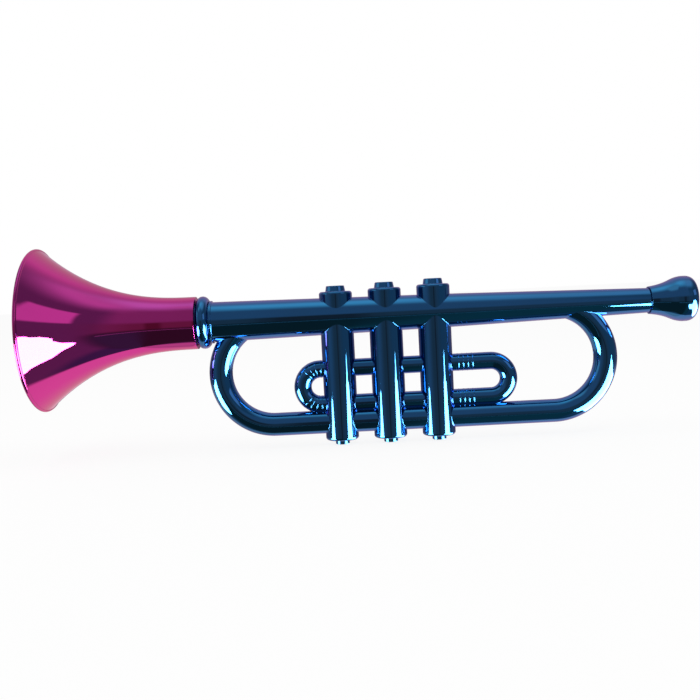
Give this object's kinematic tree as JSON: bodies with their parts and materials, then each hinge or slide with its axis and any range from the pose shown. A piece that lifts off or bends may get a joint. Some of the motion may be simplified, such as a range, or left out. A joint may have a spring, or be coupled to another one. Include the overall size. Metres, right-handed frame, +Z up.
{
  "type": "toy trumpet",
  "caption": "Toy trumpet of metallised plastic with a flared bell, fixed dummy valves, looped tubes and a squeaker reed behind its mouthpiece.",
  "frame": {"origin": "centre of the toy's box in plan, at the level of the caps under its valves", "axes": "+X from the bell to the mouthpiece along the pipe, +Y away from the viewer of the picture, +Z up towards the buttons"},
  "size_m": [0.326, 0.0812, 0.105],
  "materials": {
    "blue_metallised": "moulded polystyrene, vacuum metallised under blue lacquer, mirror gloss",
    "magenta_metallised": "moulded polystyrene, vacuum metallised under magenta lacquer, mirror gloss",
    "reed_holder": "moulded, bare ivory",
    "reed_film": "thin die-cut film"
  },
  "bodies": {
    "trumpet": {"body_front_shell": "blue_metallised", "body_rear_shell": "blue_metallised", "collar_ring": "blue_metallised", "bell": "magenta_metallised", "mouthpiece": "blue_metallised", "reed_block": "reed_holder", "reed_clamp": "reed_holder"},
    "reed": {"reed_tongue": "reed_film"}
  },
  "joints": [
    {"name": "reed_flutter", "type": "hinge", "parent": "trumpet", "child": "reed", "pos_m": [0.1393, 0, 0.06478], "axis": [0, -1, 0], "range_deg": [-1, 4], "stiffness_Nm_per_rad": 0.002}
  ]
}
